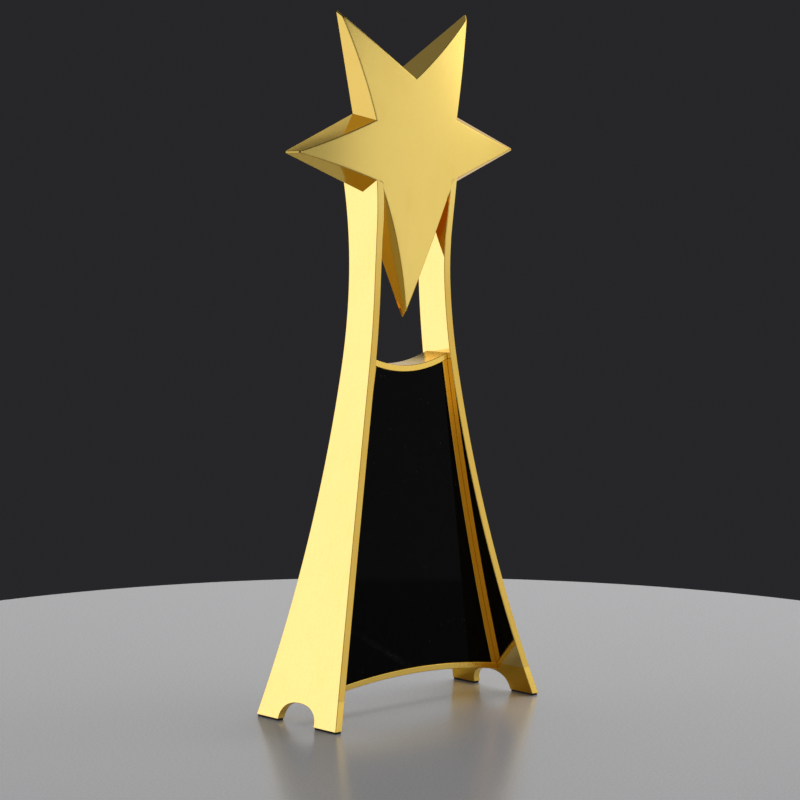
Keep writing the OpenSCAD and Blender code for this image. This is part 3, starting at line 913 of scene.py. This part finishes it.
def floor():
    deselect()
    bpy.ops.mesh.primitive_circle_add(vertices=160, radius=0.34, fill_type="NGON",
                                      location=(0, 0, 0))
    piece = bpy.context.object
    piece.name = "studio_floor"
    material = bpy.data.materials.new("pale_floor")
    material.use_nodes = True
    tree = material.node_tree
    shader = tree.nodes["Principled BSDF"]
    places = node(tree, "ShaderNodeTexCoord").outputs["Object"]
    mottle = remap(tree, noise(tree, places, 900.0, 3.0), 0.3, 0.7, 0.0, 1.0)
    tree.links.new(blend_colour(tree, mottle, (0.50, 0.50, 0.515), (0.58, 0.58, 0.595)),
                   shader.inputs["Base Color"])
    shader.inputs["Roughness"].default_value = 0.22
    shader.inputs["Specular IOR Level"].default_value = 0.5
    piece.data.materials.append(material)


def lamp(name, place, aim, width, height, brightness, in_reflections=True):
    """A soft box aimed at a point; brightness is what a perfect mirror would show of it."""
    deselect()
    bpy.ops.object.light_add(type="AREA", location=place)
    light = bpy.context.object
    light.name = name
    light.data.shape = "RECTANGLE"
    light.data.size, light.data.size_y = width, height
    light.data.energy = brightness * math.pi * width * height
    direction = Vector(aim) - Vector(place)
    light.rotation_euler = direction.to_track_quat("-Z", "Y").to_euler()
    light.visible_camera = False
    light.visible_glossy = in_reflections


floor()
lamp("box_back_left", (-0.82, 0.90, 0.10), (0, 0, 0.14), 1.10, 1.10, 1.20)
lamp("box_back_right", (0.86, 0.92, 0.10), (0, 0, 0.14), 0.95, 1.20, 0.62)
lamp("box_front_right", (0.89, -0.82, 0.16), (0, 0, 0.19), 1.20, 1.35, 0.80)
lamp("box_front_left", (-0.93, -0.87, 0.10), (0, 0, 0.18), 0.75, 1.35, 0.55)
lamp("box_front", (0.03, -1.35, 0.12), (0, 0, 0.18), 0.62, 1.20, 0.42)
lamp("box_back", (0.08, 1.35, 0.22), (0, 0, 0.18), 0.80, 1.25, 0.60)
lamp("box_right_front", (1.05, -0.42, 0.62), (0, 0, 0.24), 0.55, 0.60, 0.80)
lamp("box_left", (-1.20, -0.08, 0.05), (0, 0, 0.20), 0.90, 1.20, 0.82)
lamp("box_right", (1.20, 0.12, 0.66), (0, 0, 0.24), 0.60, 0.60, 0.85)
lamp("box_right_low", (1.32, 0.10, 0.02), (0, 0, 0.16), 0.80, 0.80, 0.60)
lamp("box_top_right", (0.50, 0.46, 1.20), (0, 0, 0.22), 0.62, 0.62, 0.38)
lamp("box_top_left", (-0.75, -0.26, 1.10), (0, 0, 0.22), 0.60, 0.60, 0.36)
lamp("box_ceiling", (0.0, 0.05, 1.70), (0, 0, 0), 1.80, 1.80, 0.15)
lamp("floor_wash", (0.40, 0.10, 1.00), (0, 0, 0), 0.90, 0.90, 1.6, in_reflections=False)

world = bpy.data.worlds.new("studio")
bpy.context.scene.world = world
world.use_nodes = True
world.node_tree.nodes["Background"].inputs["Color"].default_value = (0.020, 0.020, 0.022, 1)
bpy.context.scene.view_settings.view_transform = "Standard"

CAMERA_PLACE = (-0.8177, -0.8838, 0.2560)
CAMERA_AIM = (0.0, 0.0, 0.1340)
deselect()
bpy.ops.object.camera_add(location=CAMERA_PLACE)
camera = bpy.context.object
camera.name = "studio_camera"
sight = Vector(CAMERA_AIM) - Vector(CAMERA_PLACE)
camera.rotation_euler = sight.to_track_quat("-Z", "Y").to_euler()
camera.data.lens = 126.0
camera.data.sensor_width = 36.0
camera.data.clip_end = 20.0
bpy.context.scene.camera = camera
